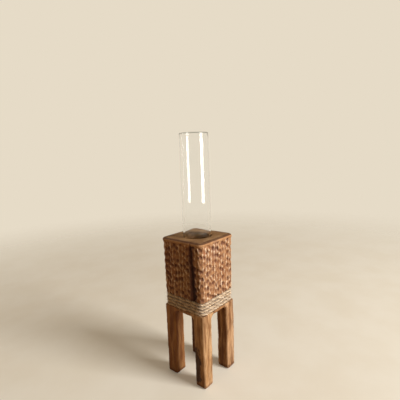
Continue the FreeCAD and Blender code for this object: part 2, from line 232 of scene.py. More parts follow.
# %% [markdown]
# ## Geometry trees
#
# A geometry tree is a recipe for a shape with named inputs, such as a pitch or a
# depth. Each tree below is built once, run on a plain starting mesh, and its result is
# kept as an ordinary mesh, because a live modifier would not survive the export.

# %% Build and run a geometry tree
def geometry_sheet(name, sizes):
    """A new geometry tree with named sizes. Gives the sheet and its input wires."""
    group = bpy.data.node_groups.new(name, "GeometryNodeTree")
    face = group.interface
    face.new_socket("Geometry", in_out="INPUT", socket_type="NodeSocketGeometry")
    for label, value in sizes.items():
        socket = face.new_socket(label, in_out="INPUT", socket_type="NodeSocketFloat")
        socket.default_value = value
    face.new_socket("Finish", in_out="INPUT", socket_type="NodeSocketMaterial")
    face.new_socket("Geometry", in_out="OUTPUT", socket_type="NodeSocketGeometry")
    sheet = Sheet(group)
    start = group.nodes.new("NodeGroupInput")
    given = {socket.name: Wire(sheet, socket) for socket in start.outputs if socket.name}
    return sheet, given


def end_sheet(sheet, given, geometry):
    """Ends a tree in real geometry with its finish on it."""
    real = sheet.node("GeometryNodeRealizeInstances", inputs={0: geometry})
    dressed = sheet.node("GeometryNodeSetMaterial",
                         inputs={"Geometry": real, "Material": given["Finish"]})
    end = sheet.tree.nodes.new("NodeGroupOutput")
    sheet.plug(end.inputs[0], dressed)
    return sheet.tree


def settled(piece, modifier):
    """Keeps what a modifier makes as the piece's plain mesh, without the modifier."""
    ready = piece.evaluated_get(bpy.context.evaluated_depsgraph_get())
    mesh = bpy.data.meshes.new_from_object(ready)
    piece.modifiers.remove(modifier)
    piece.data = mesh
    return mesh


def run_tree(piece, group, finish, values=()):
    """Runs a tree on a piece and keeps the result as the piece's plain mesh."""
    wanted = dict(values, Finish=finish)
    modifier = piece.modifiers.new(group.name, "NODES")
    modifier.node_group = group
    for item in group.interface.items_tree:
        if item.in_out == "INPUT" and item.name in wanted:
            modifier[item.identifier] = wanted[item.name]
    mesh = settled(piece, modifier)
    mesh.shade_smooth()
    triangles = sum(len(face.vertices) - 2 for face in mesh.polygons)
    print(f"{piece.name}: {triangles} triangles")
    return piece


def new_piece(name, points, faces, edges=()):
    mesh = bpy.data.meshes.new(name)
    mesh.from_pydata([tuple(point) for point in points], list(edges), faces)
    return linked(name, mesh)


print("trees are run once and kept as plain meshes")

# %% [markdown]
# ## Finishes
#
# Every finish is one Principled shader. What changes over the surface is fed to its
# colour, its roughness and a Bump node, and what is the same everywhere is set on the
# shader itself. Colours are written as a painter would read them off a screen, from 0
# to 255, and turned into the linear values that light is added up in.

# %% Colours and an empty finish
def tone(red, green, blue):
    """A screen colour as linear light."""
    def linear(value):
        share = value / 255
        return share / 12.92 if share <= 0.04045 else ((share + 0.055) / 1.055) ** 2.4
    return (linear(red), linear(green), linear(blue), 1.0)


def new_finish(name, **constants):
    """A material with one Principled shader. Gives the material, its sheet and shader."""
    finish = bpy.data.materials.new(name)
    finish.use_nodes = True
    finish.node_tree.nodes.clear()
    sheet = Sheet(finish.node_tree)
    shader = sheet.node("ShaderNodeBsdfPrincipled",
                        inputs={key.replace("_", " "): value
                                for key, value in constants.items()})
    sheet.node_end = sheet.tree.nodes.new("ShaderNodeOutputMaterial")
    sheet.plug(sheet.node_end.inputs["Surface"], shader)
    return finish, sheet, shader.socket.node


def object_place(sheet, scale, shift=(0, 0, 0)):
    """Object coordinates with the wanted number of bumps a metre along each axis."""
    place = sheet.node("ShaderNodeTexCoord", output="Object")
    return sheet.node("ShaderNodeMapping", {"vector_type": "POINT"},
                      {"Vector": place, "Location": shift, "Scale": scale})


def object_noise(sheet, scale, detail, shift=(0, 0, 0)):
    return sheet.noise(object_place(sheet, scale, shift), detail)


def surface_value(sheet, name, output="Fac"):
    """A value that the piece's geometry tree stored on its points."""
    return sheet.node("ShaderNodeAttribute", {"attribute_name": name}, output=output)


def painted(sheet, colour, coats):
    """Lays coats over a colour, each one a share from 0 to 1 and a tone."""
    for share, over in coats:
        colour = sheet.mix(share, colour, over)
    return colour


def feed(sheet, shader, colour, roughness, relief=None, depth=0.0):
    """Feeds a shader its colour, its roughness and, where it has one, its relief."""
    sheet.plug(shader.inputs["Base Color"], colour)
    sheet.plug(shader.inputs["Roughness"], roughness)
    if relief is not None:
        raised = sheet.node("ShaderNodeBump", (), {
            "Height": relief, "Distance": depth, "Strength": 1.0})
        sheet.plug(shader.inputs["Normal"], raised)


print("a mid brown is", [round(value, 3) for value in tone(150, 105, 65)])

# %% [markdown]
# ## Wood
#
# Seen close, wood is stripes inside stripes: broad bands of slow and fast growth,
# fibres half a millimetre wide that run for centimetres, and short dark pores. An
# image could be wrapped round the piece, but it would repeat and stretch. Noise that
# is squeezed across the grain and drawn out along it has no seams, and one recipe
# makes every stick of wood here with its own place in the tree.

# %% The grain that all the wooden pieces share
BAND_WIDTH = 2.6 * MM
FIBRE_WIDTH = 0.42 * MM
PORE_WIDTH = 0.22 * MM
BAND_LENGTH = 46 * MM
FIBRE_LENGTH = 13 * MM
PORE_LENGTH = 3.2 * MM


def grain_of(sheet, shift):
    """Broad bands, fine fibres and pores along Z, each as a number from 0 to 1."""
    def streaks(width, length, detail):
        scale = (1 / width, 1 / width, 1 / length)
        place = object_place(sheet, scale, tuple(step / width for step in shift))
        return sheet.noise(place, detail)

    bands = sheet.smooth(streaks(BAND_WIDTH, BAND_LENGTH, 3), 0.32, 0.68)
    fibres = sheet.smooth(streaks(FIBRE_WIDTH, FIBRE_LENGTH, 3), 0.3, 0.7)
    pores = sheet.smooth(streaks(PORE_WIDTH, PORE_LENGTH, 1), 0.64, 0.74)
    return bands, fibres, pores


print("fibres are", round(FIBRE_WIDTH / MM, 2), "mm wide")

# %% [markdown]
# ## The gouged block
#
# The block was worked all over with a narrow gouge: short strokes in rough columns,
# each stroke growing deeper until the chip broke off. That leaves small dark pits with
# soft ridges between them, and it nibbles at the outline too, so bump alone would not
# do. The starting mesh is a stack of rings with about one point every half
# millimetre, up the sides, over the rounded top edge, and down into the bore.

# %% Sizes of the block
block_low, block_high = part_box("chiselled_block")
tube_low, tube_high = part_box("test_tube")
BLOCK_TOP_HALF = block_high.x
BLOCK_BOTTOM_HALF = 26.9 * MM
CORNER_RADIUS = 4.8 * MM
TOP_ROUND = 2.4 * MM
BOTTOM_CHAMFER = 0.9 * MM
BORE_RADIUS = 15.3 * MM
BORE_FLOOR = tube_low.z - 0.3 * MM
MOUTH_ROUND = 0.7 * MM
SIDE_STEPS = 100
CORNER_STEPS = 18
ROW_STEP = 0.45 * MM
EDGE_ROWS = 7
TOP_ROWS = 20
MOUTH_ROWS = 4
BORE_ROWS = 8
block_height = block_high.z - block_low.z
print("block is", round(block_height / MM, 1), "mm high")


# %% Rings of the block
def square_ring(half, radius):
    """Points round a square with round corners, and the direction out at each."""
    points = []
    outwards = []
    flat = half - radius
    for side in range(4):
        turn = Matrix.Rotation(math.pi / 2 * side, 2)
        for step in range(SIDE_STEPS):
            share = step / SIDE_STEPS
            points.append(turn @ Vector((half, flat * (2 * share - 1))))
            outwards.append(turn @ Vector((1, 0)))
        for step in range(CORNER_STEPS):
            angle = math.pi / 2 * step / CORNER_STEPS
            out = Vector((math.cos(angle), math.sin(angle)))
            points.append(turn @ (Vector((flat, flat)) + out * radius))
            outwards.append(turn @ out)
    return points, outwards


def shares(count):
    """1/count, 2/count and so on up to 1."""
    return [step / count for step in range(1, count + 1)]


def round_ring(radius, like):
    """A circle whose points lie in the same directions as those of another ring."""
    return [point.normalized() * radius for point in like]


def stack(rings):
    """Joins rings of (points, height) into faces, closed to a point at both ends."""
    count = len(rings[0][0])
    points = [Vector((*point, height)) for ring, height in rings for point in ring]
    faces = []
    for level in range(len(rings) - 1):
        first = level * count
        for step in range(count):
            after = (step + 1) % count
            faces.append((first + step, first + after, first + count + after,
                          first + count + step))
    for level, height in ((0, rings[0][1]), (len(rings) - 1, rings[-1][1])):
        centre = len(points)
        points.append(Vector((0, 0, height)))
        for step in range(count):
            corner = level * count + step
            beside = level * count + (step + 1) % count
            faces.append((beside, corner, centre) if level == 0 else (corner, beside, centre))
    return points, faces


print("one ring has", 4 * (SIDE_STEPS + CORNER_STEPS), "points")


# %% Stack the block's rings
def block_rings():
    """All rings from the middle of the underside, over the outside, into the bore."""
    flare = (BLOCK_TOP_HALF - BLOCK_BOTTOM_HALF) / block_height

    def outer(height, inset=0.0):
        grown = flare * (height - block_low.z)
        return square_ring(BLOCK_BOTTOM_HALF + grown - inset, CORNER_RADIUS + grown - inset)[0]

    edge = outer(block_low.z, BOTTOM_CHAMFER)
    rings = [([point * share for point in edge], block_low.z) for share in (0.1, 0.5, 1.0)]
    low, high = block_low.z + BOTTOM_CHAMFER, block_high.z - TOP_ROUND
    for share in [0.0] + shares(round((high - low) / ROW_STEP)):
        height = low + (high - low) * share
        rings.append((outer(height), height))
    for share in shares(EDGE_ROWS):
        angle = math.pi / 2 * share
        height = high + TOP_ROUND * math.sin(angle)
        rings.append((outer(high, TOP_ROUND * (1 - math.cos(angle))), height))
    rim = rings[-1][0]
    mouth = round_ring(BORE_RADIUS + MOUTH_ROUND, rim)
    for share in shares(TOP_ROWS):
        rings.append(([a.lerp(b, share) for a, b in zip(rim, mouth)], block_high.z))
    for share in shares(MOUTH_ROWS):
        angle = math.pi / 2 * share
        radius = BORE_RADIUS + MOUTH_ROUND * (1 - math.sin(angle))
        height = block_high.z - MOUTH_ROUND * (1 - math.cos(angle))
        rings.append((round_ring(radius, rim), height))
    wall_top = block_high.z - MOUTH_ROUND
    for share in shares(BORE_ROWS):
        height = wall_top + (BORE_FLOOR - wall_top) * share
        rings.append((round_ring(BORE_RADIUS, rim), height))
    rings.append((round_ring(BORE_RADIUS * 0.5, rim), BORE_FLOOR))
    return rings


rings = block_rings()
block = new_piece("carved_block", *stack(rings))
print("the block has", len(rings), "rings and", len(block.data.vertices), "points")

# %% [markdown]
# The gouging follows a rule, so a geometry tree cuts it. The distance round the block
# is divided into columns and the height into strokes, each column half a stroke above
# its neighbour, and a fixed random number for each stroke decides how deep it goes and
# how it leans. The main strokes lie where the CAD solid has its gouges, with shallower
# ones between them and small nicks over both. The tree needs to know of each point its
# share of the way round, the direction out, and how much of the gouging reaches it.

# %% Tell each point of the block where it is
SMOOTH_BAND = 2.8 * MM
FULL_DEPTH_BELOW = 6.0 * MM


def mark_block(piece):
    """Stores each point's share of the way round, its outward direction and its share
    of the gouging, which fades out under the smooth band at the top."""
    mesh = piece.data
    girth, outwards = square_ring(BLOCK_TOP_HALF, CORNER_RADIUS)
    count = len(outwards)
    steps = [(girth[(i + 1) % count] - girth[i]).length for i in range(count)]
    way = np.zeros(len(mesh.vertices))
    out = np.zeros((len(mesh.vertices), 3))
    ringed = len(rings) * count
    gone = np.cumsum([0.0] + steps[:-1]) - (BLOCK_TOP_HALF - CORNER_RADIUS)
    way[:ringed] = np.tile(gone / sum(steps), len(rings))
    out[:ringed, :2] = np.tile(np.array([tuple(o) for o in outwards]), (len(rings), 1))
    place = np.array([tuple(v.co) for v in mesh.vertices])
    reach = np.abs(place[:, :2]).max(axis=1)
    outside = reach > BLOCK_BOTTOM_HALF - BOTTOM_CHAMFER - CORNER_RADIUS
    below_top = block_high.z - place[:, 2]
    fade = np.clip((below_top - SMOOTH_BAND) / (FULL_DEPTH_BELOW - SMOOTH_BAND), 0, 1)
    cut = np.where(outside, fade, 0.0)
    flat_top = (below_top < TOP_ROUND * 0.5).astype(float)
    for name, kind, values in (("way_round", "FLOAT", way), ("cut", "FLOAT", cut),
                               ("out", "FLOAT_VECTOR", out), ("flat_top", "FLOAT", flat_top)):
        stored = mesh.attributes.new(name, kind, "POINT")
        stored.data.foreach_set("vector" if kind == "FLOAT_VECTOR" else "value", values.ravel())
    return int((cut > 0).sum())


print(mark_block(block), "points of the block will be cut")


# %% How one stroke differs from the next
FIRST_GOUGE = 3.1 * MM
SWAY_SIZE = 15 * MM
SHAKE_SIZE = 4.2 * MM
SHAKE_ACROSS = 0.3
SHAKE_ALONG = 0.4
LEAN_ABOUT, LEAN_LEAST, LEAN_RANGE = 0.45, -0.1, 0.4
HALF_WIDTH_LEAST, HALF_WIDTH_RANGE = 0.24, 0.1
COLUMN_ENDS = (0.4, 0.5)
# Where a stroke reaches its depth, where it starts to rise again, and where it ends
DEEPEST_FROM, DEEPEST_TO, STROKE_END = 0.5, 0.6, 0.88
LEAST_DEPTH = 0.3


def strokes(sheet, place, columns, length, aside, loose, seed):
    """Gouge strokes in staggered columns. Gives the hollow of each column across and the
    depth in each stroke, both from 0 to 1."""
    sway = sheet.bumps(place, SWAY_SIZE, 1.0) - 0.5
    shake = sheet.bumps(place, SHAKE_SIZE, 2.0, "Color")
    across = sheet.attribute("way_round") * columns + aside + sway * loose
    across = across + (sheet.part(shake, "X") - 0.5) * SHAKE_ACROSS
    column = (across + 0.5).floor()
    across = across - column
    column = sheet.math("FLOORED_MODULO", column, columns)
    stagger = sheet.math("FLOORED_MODULO", column, 2) * 0.5
    slip = (sheet.chance(column, 0, seed) - 0.5) * loose
    height = sheet.part(place, "Z") - block_low.z - FIRST_GOUGE
    travel = height / length - stagger + slip + (sheet.part(shake, "Y") - 0.5) * SHAKE_ALONG
    stroke = travel.floor()
    travel = travel - stroke
    luck = sheet.chance(column, stroke, seed + 1)
    lean = sheet.chance(column, stroke, seed + 3) * LEAN_RANGE + LEAN_LEAST
    half = HALF_WIDTH_LEAST + HALF_WIDTH_RANGE * sheet.chance(column, stroke, seed + 2)
    off = (across + (travel - LEAN_ABOUT) * lean) / half
    bowl = sheet.largest(1 - off ** 2, 0) * (1 - sheet.smooth(abs(across), *COLUMN_ENDS))
    dig = sheet.smooth(travel, 0.0, DEEPEST_FROM)
    dig = dig * (1 - sheet.smooth(travel, DEEPEST_TO, STROKE_END))
    return bowl, bowl * dig * (LEAST_DEPTH + (1 - LEAST_DEPTH) * luck)


print("the shallowest stroke has", LEAST_DEPTH, "of the full depth")

# %% The gouging tree
BETWEEN_SHOWS = 0.75
BLEND = 0.4 * MM
WANDER_SIZE = 7 * MM
CHIP_SIZE, CHIP_DEPTH = 1.5 * MM, 0.4 * MM
TOP_WAVE_SIZE, TOP_WAVE_DEPTH = 6 * MM, 0.35 * MM
CORNER_TURNS, CORNER_SPARED = (0.1, 0.6), 0.45
# The split runs down the -X side: its place in Y at the top, how far it drifts on the way
# down, how far it strays from its line and how often, and where below the top it closes.
SPLIT_AT = -12.9 * MM
SPLIT_DRIFT = 2.4 * MM
SPLIT_RAGGED = 3.0 * MM
RAGGED_SIZE = 5 * MM
SPLIT_CLOSES, SPLIT_CLOSED_BY = (7 * MM, 2 * MM), 0.75
# How far from its line the split and the darker fringe beside it fade, in half
# widths of the split
SPLIT_FADES, FRINGE_FADES = (0.15, 1.0), (0.3, 2.1)


def gouging_tree():
    sheet, given = geometry_sheet("gouging", {
        "Columns": 24, "Stroke length": 7.3 * MM, "Pit depth": 2.2 * MM,
        "Between length": 6.4 * MM, "Between depth": 1.4 * MM, "Flute depth": 0.4 * MM,
        "Nick columns": 62, "Nick length": 5.2 * MM, "Nick depth": 0.55 * MM, "Seed": 7,
        "Split depth": 3.4 * MM, "Split half width": 3.0 * MM})
    place = sheet.node("GeometryNodeInputPosition")
    height = sheet.part(place, "Z") - block_low.z
    out = sheet.attribute("out", "FLOAT_VECTOR")
    wander = sheet.bumps(place, WANDER_SIZE)
    first, main = strokes(sheet, place, given["Columns"], given["Stroke length"], 0.0, 0.3,
                          given["Seed"])
    second, between = strokes(sheet, place, given["Columns"], given["Between length"], 0.5,
                              0.7, given["Seed"] + 10)
    nick = strokes(sheet, place, given["Nick columns"], given["Nick length"], 0.0, 1.4,
                   given["Seed"] + 20)[1]
    nick = nick * sheet.smooth(wander, 0.3, 0.6)
    flute = sheet.largest(first, second)
    corner = sheet.math("MINIMUM", abs(sheet.part(out, "X")), abs(sheet.part(out, "Y")))
    spared = 1 - sheet.smooth(corner, *CORNER_TURNS) * CORNER_SPARED
    pit = sheet.largest(main, between * BETWEEN_SHOWS)
    cut = sheet.smooth(sheet.attribute("cut") + (wander - 0.5) * 0.6, 0.02, 0.6)
    chips = sheet.bumps(place, CHIP_SIZE, 3.0)
    deepest = sheet.math("SMOOTH_MAX", main * given["Pit depth"],
                         between * given["Between depth"], BLEND)
    gouged = cut * (deepest * spared + flute * given["Flute depth"] + nick * given["Nick depth"]
                    + chips * CHIP_DEPTH)

    down = 1 - height / block_height
    ragged = sheet.bumps(sheet.joined(0, 0, height), RAGGED_SIZE, 3.0)
    line = SPLIT_AT - down * SPLIT_DRIFT + (ragged - 0.5) * SPLIT_RAGGED
    half = given["Split half width"] * (0.6 + 0.35 * down + 0.7 * (wander - 0.3))
    aside = abs(sheet.part(place, "Y") - line) / half
    closing = sheet.smooth(height, *(block_height - below for below in SPLIT_CLOSES))
    facing = sheet.smooth(0 - sheet.part(out, "X"), 0.7, 0.9) * (1 - SPLIT_CLOSED_BY * closing)
    split = (1 - sheet.smooth(aside, *SPLIT_FADES)) * facing
    split_fringe = (1 - sheet.smooth(aside, *FRINGE_FADES)) * facing

    depth = sheet.largest(gouged, split * given["Split depth"])
    sunk = sheet.attribute("flat_top") * sheet.bumps(place, TOP_WAVE_SIZE) * TOP_WAVE_DEPTH
    offset = sheet.vector("ADD", sheet.scaled(out, 0 - depth), sheet.joined(0, 0, 0 - sunk))
    shape = sheet.moved(given["Geometry"], offset)
    ridge = cut * (1 - sheet.smooth(flute + pit * 0.5, 0.0, 0.9))
    for name, value in (("pit", sheet.largest(pit, nick * 0.6) * cut), ("ridge", ridge),
                        ("split", split), ("split_fringe", split_fringe)):
        shape = sheet.keep(shape, name, value)
    return end_sheet(sheet, given, shape)


gouging = gouging_tree()
print("gouging has", len(gouging.nodes), "nodes")

# %% [markdown]
# The finish of the block follows the same cuts. The tree stored how deep each pit is,
# where the ridges are and where the long split runs. The pits hold old dark stain
# together with painted shade, the valleys between the ridges get painted shade, the
# ridges are rubbed pale and carry a painted highlight, the split gets painted shade
# that is nearly black, and the wood beside it is darker. Under that lies the shared
# grain with a few large spots, and the flat top is end grain: duller, with faint rings
# and a darker border of painted shade along its rounded edge.

# %% The block's finish
SPOTS = (
    ((-27, 18, 118), (14, 13, 34), 0.6, tone(150, 92, 58)),
    ((-27, -3, 116), (14, 12, 30), 0.5, tone(156, 122, 74)),
    ((-5, -27, 141), (7, 9, 13), 0.6, tone(140, 106, 96)),
    ((-21, -27, 141), (4, 6, 6), 0.6, tone(160, 96, 66)),
)
# Bumps of noise a metre along X, Y and Z
PATCH_BUMPS, SPECK_BUMPS, BLOT_BUMPS = (70, 70, 40), (520, 520, 300), (210, 210, 130)
RING_WIDTH = 0.42 * MM
RING_WANDER = 0.012
BORDER_FROM, BORDER_TO = 22.5 * MM, 25.5 * MM
BORDER_RAGGED = 2 * MM


def blot(sheet, centre, reach):
    """A soft ragged spot round a place, both in millimetres: 1 inside and 0 outside."""
    place = object_place(sheet, (1 / MM, 1 / MM, 1 / MM))
    aside = sheet.vector("DIVIDE", sheet.vector("SUBTRACT", place, centre), reach)
    ragged = object_noise(sheet, BLOT_BUMPS, 3.0) - 0.5
    return 1 - sheet.smooth(sheet.length(aside) + ragged * 1.1, 0.35, 1.15)


def block_finish():
    finish, sheet, shader = new_finish("carved_wood_finish", Specular_IOR_Level=0.18)
    bands, fibres, pores = grain_of(sheet, (0.011, 0.023, 0.0))
    patches = object_noise(sheet, PATCH_BUMPS, 3.0, (3.1, 0.4, 1.7))
    specks = object_noise(sheet, SPECK_BUMPS, 2.0, (1.0, 7.0, 2.0))
    pit, ridge, split, split_fringe, cut, flat_top = (
        surface_value(sheet, name)
        for name in ("pit", "ridge", "split", "split_fringe", "cut", "flat_top"))

    # Painted shade in the valleys between the ridges of the gouging.
    valley_shade = cut * (1 - ridge)
    # Pits hold old dark stain together with painted shade, darkest where they are deepest.
    stained = sheet.smooth(pit + (specks - 0.5) * 0.8 + (patches - 0.5) * 0.6, 0.0, 0.6)
    body = painted(sheet, tone(166, 118, 78), (
        (sheet.smooth(patches, 0.35, 0.65), tone(194, 148, 104)),
        *((blot(sheet, centre, reach) * share, over) for centre, reach, share, over in SPOTS),
        (bands * 0.3, tone(208, 164, 122)),
        (valley_shade * sheet.smooth(specks, 0.65, 0.4) * 0.5, tone(146, 98, 66)),
        # Ridges rubbed pale, with a painted highlight on top.
        (ridge * sheet.smooth(specks, 0.3, 0.6), tone(255, 230, 200)),
        (fibres * 0.25, tone(126, 84, 52)),
        (stained * 0.8, tone(98, 58, 46)),
        (pores * 0.4, tone(84, 50, 30)),
    ))

    around = object_place(sheet, (1, 1, 0))
    radius = sheet.length(around) + (patches - 0.5) * RING_WANDER
    ring = sheet.math("SINE", radius / RING_WIDTH)
    # A darker border of painted shade along the top's rounded edge.
    border_shade = sheet.largest(abs(sheet.part(around, "X")), abs(sheet.part(around, "Y")))
    border_shade = sheet.smooth(border_shade + (specks - 0.5) * BORDER_RAGGED, BORDER_FROM, BORDER_TO)
    # The wood beside the split is darker.
    edge = sheet.smooth(split_fringe + (patches - 0.5) * 0.6 + (specks - 0.5) * 0.5, 0.1, 0.75)
    # Painted shade inside the split, nearly black.
    split_shade = sheet.smooth(split + (specks - 0.5) + (patches - 0.5) * 0.8, 0.2, 0.9)
    end_grain = painted(sheet, tone(150, 112, 70), (
        (0.5 + ring * 0.18, tone(122, 86, 52)),
        (sheet.smooth(patches, 0.45, 0.6) * 0.6, tone(176, 138, 94)),
        (border_shade * 0.8, tone(84, 52, 36)),
    ))
    colour = painted(sheet, body, (
        (flat_top, end_grain),
        (edge * 0.8, tone(84, 50, 46)),
        (split_shade * 0.85, tone(54, 32, 30)),
    ))
    relief = fibres * 0.6 - pores * 0.5 + bands * 0.3 + specks * 0.8
    feed(sheet, shader, colour, 0.62 + 0.2 * pit + 0.1 * fibres, relief, 0.25 * MM)
    return finish


run_tree(block, gouging, block_finish())

# %% [markdown]
# ## The legs and the rail
#
# The legs are sawn square and sanded by hand, so their edges are soft and nothing is
# quite straight. The CAD solids have the right shape but large flat triangles. A copy
# of each is merged and given an even skin by the voxel Remesh modifier, and one
# geometry tree then lets every face sway a little and opens the grain. The same noise
# runs through all five pieces, so they still meet where they are joined.

# %% An even skin for a CAD piece
LEG_SKIN = 0.5 * MM
RAIL_SKIN = 0.7 * MM
MERGE_WITHIN = 0.001 * MM


def even_copy(node, name, skin):
    """A copy of a CAD node with small even faces."""
    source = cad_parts[node].data
    made = bmesh.new()
    made.from_mesh(source)
    bmesh.ops.remove_doubles(made, verts=made.verts, dist=MERGE_WITHIN)
    mesh = bpy.data.meshes.new(name)
    made.to_mesh(mesh)
    made.free()
    piece = linked(name, mesh)
    remesh = piece.modifiers.new("even skin", "REMESH")
    remesh.mode = "VOXEL"
    remesh.voxel_size = skin
    even = settled(piece, remesh)
    print(f"{name}: {len(mesh.vertices)} points became {len(even.vertices)}")
    return piece


# %% The sanding tree
SWAY_BUMPS = (70, 70, 38)
RIPPLE_BUMPS = (190, 190, 110)
GRAIN_BUMPS = (800, 800, 55)
KNOCK_SIZE = 1 / 260
FOOT_FADES = (2 * MM, 9 * MM)
RISE_FROM_FLOOR = (0.3 * MM, 3 * MM)


def sanding_tree():
    """Sways the faces, opens the grain and knocks the feet, above the floor only."""
    sheet, given = geometry_sheet("sanding", {
        "Sway": 1.6 * MM, "Ripple": 0.7 * MM, "Grain depth": 0.22 * MM,
        "Knock depth": 0.7 * MM,
        "Leg centre": 19.9 * MM, "Leg half width": 6.8 * MM})
    place = sheet.node("GeometryNodeInputPosition")
    height = sheet.part(place, "Z")
    sway, ripple, grain = (sheet.noise(sheet.vector("MULTIPLY", place, bumps))
                           for bumps in (SWAY_BUMPS, RIPPLE_BUMPS, GRAIN_BUMPS))
    knocks = sheet.bumps(place, KNOCK_SIZE)
    low = 1 - sheet.smooth(height, *FOOT_FADES)

    def edge(axis):
        aside = abs(abs(sheet.part(place, axis)) - given["Leg centre"])
        return aside / given["Leg half width"]

    edges = sheet.smooth(sheet.math("MINIMUM", edge("X"), edge("Y")), 0.62, 0.95)
    knocked = sheet.smooth(knocks, 0.52, 0.7) * (0.35 * edges + 0.65 * low)
    out = (sway - 0.5) * given["Sway"] + (ripple - 0.5) * given["Ripple"]
    out = out - knocked * given["Knock depth"]
    out = out - sheet.smooth(grain, 0.5, 0.72) * given["Grain depth"]
    rise = sheet.smooth(height, *RISE_FROM_FLOOR)
    offset = sheet.scaled(sheet.node("GeometryNodeInputNormal"), out * rise)
    shape = sheet.moved(given["Geometry"], offset)
    shape = sheet.keep(shape, "worn", edges)
    shape = sheet.keep(shape, "foot", low)
    return end_sheet(sheet, given, shape)


sanding = sanding_tree()
print("sanding has", len(sanding.nodes), "nodes")

# %% [markdown]
# The four legs were not cut from one board: one is an orange brown, one a plain mid
# brown, one is paler with a patch of painted shade low on its side, by the gap behind
# it, and the one at the back is dark. So the finish is a function of three tones and a
# place in the tree, with rubbed edges and feet that grow darker towards the floor. The
# rail between the legs takes the same finish.

# %% The legs' finishes
SLOW_BUMPS, SPOT_BUMPS, RUBBED_BUMPS = (150, 150, 12), (95, 95, 30), (240, 240, 36)


def stick_finish(name, dark, middle, pale, shift, stain=0.0, shade_patch=None):
    finish, sheet, shader = new_finish(name, Specular_IOR_Level=0.18)
    bands, fibres, pores = grain_of(sheet, shift)
    slow = object_noise(sheet, SLOW_BUMPS, 2.0, tuple(90 * step for step in shift))
    spots = object_noise(sheet, SPOT_BUMPS, 3.0, shift)
    rubbed = object_noise(sheet, RUBBED_BUMPS, 3.0, shift)
    worn, foot = surface_value(sheet, "worn"), surface_value(sheet, "foot")
    stained = sheet.smooth(spots, 0.66 - 0.14 * stain, 0.74) * (0.5 + 0.5 * stain)
    coats = [
        (sheet.smooth(slow, 0.42, 0.6), dark),
        (bands * 0.6, pale),
        (sheet.smooth(rubbed, 0.53, 0.38) * 0.8, dark),
        (sheet.smooth(rubbed, 0.53, 0.66) * 0.7, pale),
        (fibres * 0.36, dark),
        (worn * 0.38 * (1 - fibres * 0.5), pale),
        (pores * 0.6, tone(64, 34, 18)),
        (stained, tone(52, 30, 20)),
        # Darker towards the feet.
        (sheet.smooth(foot + (spots - 0.5), 0.55, 1.15) * 0.6, tone(84, 44, 26)),
    ]
    # A patch of painted shade low on the leg's side, by the gap behind it.
    if shade_patch:
        torn = sheet.smooth(blot(sheet, *shade_patch) + (rubbed - 0.5) * 0.9, 0.15, 0.6)
        coats.append((torn * 0.9, tone(50, 25, 13)))
    relief = fibres * 0.7 - pores * 0.8 + bands * 0.3 + rubbed * 0.8
    feed(sheet, shader, painted(sheet, middle, coats),
         0.5 + 0.2 * fibres + 0.1 * pores - 0.08 * worn, relief, 0.22 * MM)
    return finish


LEGS = {
    "leg_front": ("front_leg", tone(130, 88, 52), tone(184, 138, 90), tone(230, 190, 144),
                  (0.004, 0.0, 0.0), 0.5, ((-27, -12.5, 23), (9, 11, 25))),
    "leg_right": ("right_leg", tone(118, 78, 46), tone(178, 134, 92), tone(226, 186, 144),
                  (0.031, 0.017, 0.013), 0.0, None),
    "leg_back": ("back_leg", tone(92, 54, 30), tone(130, 84, 50), tone(164, 114, 72),
                 (0.052, 0.038, 0.027), 0.2, None),
    "leg_left": ("left_leg", tone(118, 72, 40), tone(162, 110, 64), tone(192, 142, 92),
                 (0.077, 0.009, 0.041), 0.0, None),
}
stand_pieces = {}
for node, (name, *wood) in LEGS.items():
    leg = even_copy(node, name, LEG_SKIN)
    finish = stick_finish(f"{name}_finish", *wood)
    stand_pieces[node] = run_tree(leg, sanding, finish)

# %% The rail and neck
rail = even_copy("waist_plate", "waist_rail", RAIL_SKIN)
rail_finish = stick_finish("waist_rail_finish", tone(112, 70, 38), tone(156, 106, 64),
                           tone(190, 144, 98), (0.015, 0.061, 0.033))
stand_pieces["waist_plate"] = run_tree(rail, sanding, rail_finish, {"Knock depth": 0.0})
print(len(stand_pieces), "wooden pieces under the block")

# %% [markdown]
# ## The jute winding
#
# Jute twine is three soft yarns laid round each other, and loose fibres stand off it
# everywhere. Four turns of it go round the neck, each climbing to the next at the
# back. A texture on a plain tube would look like hose, so the tree lays real yarns: it
# follows the path, winds three points round it, gives each a round section, and plants
# fibres along them. The path is worked out by a loop, as the twine was wound.

# %% The path of the twine
winding_low, winding_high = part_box("twine_wrap")
TWINE_TURNS = 4
TWINE_WIDTH = 2.85 * MM
NECK_CORNER = 3.4 * MM
CLIMB_HALF = 17.0 * MM
PATH_STEP = 1.0 * MM

turn_half = winding_high.x - TWINE_WIDTH / 2
turn_bend = NECK_CORNER + 0.1 * MM + TWINE_WIDTH / 2
lowest_turn = winding_low.z + TWINE_WIDTH / 2
turn_rise = (winding_high.z - winding_low.z - TWINE_WIDTH) / (TWINE_TURNS - 1)


def walk(start, end):
    """Points from one place to another, without the first."""
    return [start.lerp(end, share)
            for share in shares(max(1, round((end - start).length / PATH_STEP)))]


def level_run():
    """Once round, from left to right of the middle of the back, in steps."""
    flat = turn_half - turn_bend
    points = [Vector((-CLIMB_HALF, turn_half))]
    for out in (Vector((0, 1)), Vector((-1, 0)), Vector((0, -1)), Vector((1, 0))):
        ahead = Vector((-out.y, out.x))
        points += walk(points[-1], out * turn_half + ahead * flat)
        centre = (out + ahead) * flat
        for share in shares(round(turn_bend * math.pi / 2 / PATH_STEP)):
            angle = math.pi / 2 * share
            points.append(centre + (out * math.cos(angle) + ahead * math.sin(angle)) * turn_bend)
    return points + walk(points[-1], Vector((CLIMB_HALF, turn_half)))


